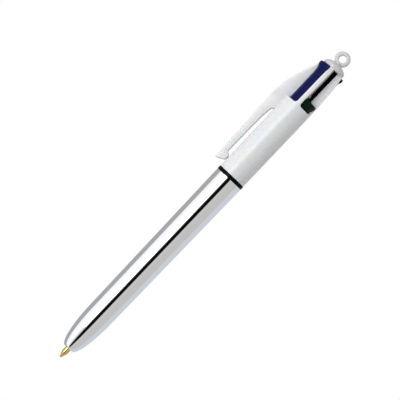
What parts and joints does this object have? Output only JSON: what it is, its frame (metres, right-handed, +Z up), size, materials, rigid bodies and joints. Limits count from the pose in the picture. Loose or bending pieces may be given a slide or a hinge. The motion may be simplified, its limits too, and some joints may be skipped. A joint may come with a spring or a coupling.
{
  "type": "multicolor click pen",
  "caption": "Retractable ballpoint with several coloured refills on thumb sliders, a metal front barrel, a white rear barrel with a moulded clip, and a lanyard loop",
  "frame": {"origin": "below the middle of the pen's box, on the surface it lies on", "axes": "+X along the pen from the writing tip to the lanyard loop, +Y toward the side the clip is on, +Z up. The pen lies rolled until the clip's edge touches the surface too, with the clip about 25.5 degrees below +Y"},
  "size_m": [0.15, 0.0156, 0.0115],
  "materials": {
    "lower_barrel": "mirror chrome plating",
    "joint_ring": "gloss black",
    "coupler": "moulded black",
    "upper_barrel": "gloss white",
    "end_cap": "gloss white",
    "latch_post": "moulded white",
    "springs": "drawn wire",
    "tubes": "translucent",
    "points": "turned brass",
    "balls": "ground ball",
    "slider_green": "gloss moulded",
    "ink_green": "wet ink",
    "slider_blue": "gloss moulded",
    "ink_blue": "wet ink",
    "slider_black": "gloss moulded",
    "ink_black": "wet ink",
    "slider_red": "gloss moulded",
    "ink_red": "wet ink"
  },
  "bodies": {
    "pen_body": {"upper_barrel": "upper_barrel", "end_cap": "end_cap", "latch_post": "latch_post", "coupler": "coupler", "spring_green": "springs", "spring_blue": "springs", "spring_black": "springs", "spring_red": "springs"},
    "ring": {"joint_ring": "joint_ring"},
    "front": {"lower_barrel": "lower_barrel"},
    "green_unit": {"slider_green": "slider_green", "refill_tube_green": "tubes", "ink_green": "ink_green", "point_green": "points", "ball_green": "balls"},
    "blue_unit": {"slider_blue": "slider_blue", "refill_tube_blue": "tubes", "ink_blue": "ink_blue", "point_blue": "points", "ball_blue": "balls"},
    "black_unit": {"slider_black": "slider_black", "refill_tube_black": "tubes", "ink_black": "ink_black", "point_black": "points", "ball_black": "balls"},
    "red_unit": {"slider_red": "slider_red", "refill_tube_red": "tubes", "ink_red": "ink_red", "point_red": "points", "ball_red": "balls"}
  },
  "joints": [
    {"name": "click_green", "type": "slide", "parent": "pen_body", "child": "green_unit", "axis": [-1, 0, 0], "range_m": [-0.0141, 0], "deforming": ["spring_green"]},
    {"name": "click_blue", "type": "slide", "parent": "pen_body", "child": "blue_unit", "axis": [-1, 0, 0], "range_m": [0, 0.005], "stiffness_N_per_m": 90, "springref_m": -0.005, "deforming": ["spring_blue"]},
    {"name": "click_black", "type": "slide", "parent": "pen_body", "child": "black_unit", "axis": [-1, 0, 0], "range_m": [0, 0.005], "stiffness_N_per_m": 90, "springref_m": -0.005, "deforming": ["spring_black"]},
    {"name": "click_red", "type": "slide", "parent": "pen_body", "child": "red_unit", "axis": [-1, 0, 0], "range_m": [0, 0.005], "stiffness_N_per_m": 90, "springref_m": -0.005, "deforming": ["spring_red"]},
    {"name": "front_unscrew_travel", "type": "slide", "parent": "pen_body", "child": "ring", "axis": [-1, 0, 0], "range_m": [0, 0.00625]},
    {"name": "front_unscrew", "type": "hinge", "parent": "ring", "child": "front", "pos_m": [-0.01065, -0.00204, 0.00573], "axis": [-1, 0, 0], "range_deg": [0, 1800]}
  ],
  "couplings": [
    {"joint": "front_unscrew", "follows": "front_unscrew_travel", "rad_per_m": 5026.5}
  ]
}
